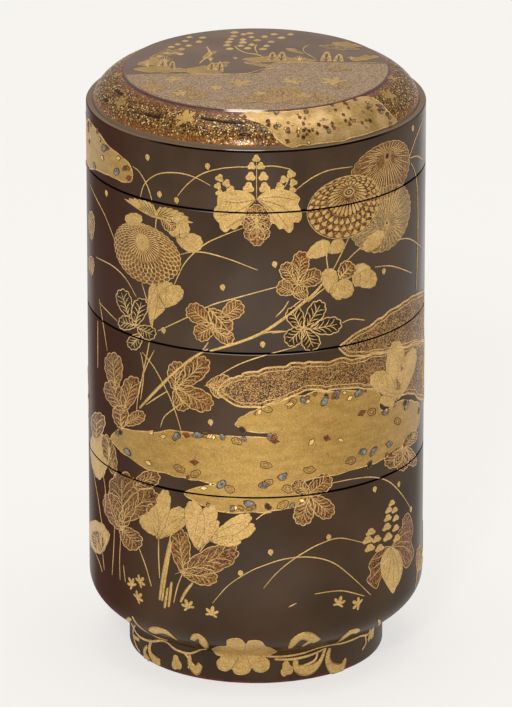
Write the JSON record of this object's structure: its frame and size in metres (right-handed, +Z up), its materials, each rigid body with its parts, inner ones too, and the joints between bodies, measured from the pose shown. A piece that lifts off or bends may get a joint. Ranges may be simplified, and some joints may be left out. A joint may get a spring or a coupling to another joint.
{
  "type": "tiered lacquer box",
  "caption": "Round stacking food box of lacquered wood with a footed lower tier, further tiers on inner lips and a lift-off domed lid.",
  "frame": {"origin": "middle of the underside of the foot", "axes": "+Z up the box's axis, -Y towards the front that the picture shows"},
  "size_m": [0.13, 0.13, 0.2342],
  "materials": {
    "lacquer": "polished brown-black lacquer",
    "gold_dusted_lacquer": "lacquer with dense gold dust",
    "gold": "burnished gold powder in lacquer",
    "red_gold": "thin gold dust over red-brown lacquer",
    "shell": "blue-grey shell chips"
  },
  "bodies": {
    "root": {"lower_tier": "lacquer", "middle_tier": "lacquer", "upper_tier": "lacquer", "lid": "gold_dusted_lacquer"}
  },
  "joints": []
}
